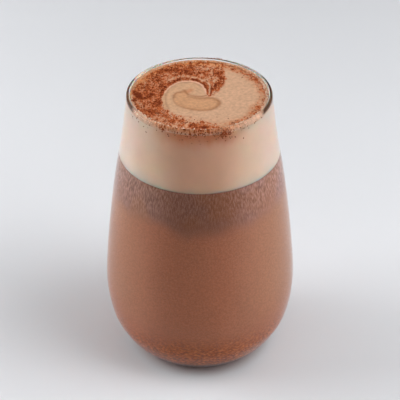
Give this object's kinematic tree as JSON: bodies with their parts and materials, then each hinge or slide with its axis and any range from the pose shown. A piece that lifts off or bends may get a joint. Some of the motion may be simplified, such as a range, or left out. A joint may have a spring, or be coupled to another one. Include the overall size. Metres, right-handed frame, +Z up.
{
  "type": "hot cocoa",
  "caption": "Hot cocoa in a clear stemless tumbler filled to the brim: milky cocoa, a darker band and a milk foam head with a swirl and cocoa powder.",
  "frame": {"origin": "middle of the foot, on the surface that the glass stands on", "axes": "+Z up through the glass, -Y towards the side seen in the picture, +X to its right"},
  "size_m": [0.0828, 0.0828, 0.1264],
  "materials": {
    "clear_glass": "clear and polished",
    "milky_cocoa": "opaque milky drink against glass",
    "dark_cocoa": "opaque dark drink with fine streaks, against glass",
    "milk_foam": "soft milk foam under cocoa powder"
  },
  "bodies": {
    "root": {"glass": "clear_glass", "cocoa": "milky_cocoa", "dark_cocoa": "dark_cocoa", "foam": "milk_foam"}
  },
  "joints": []
}
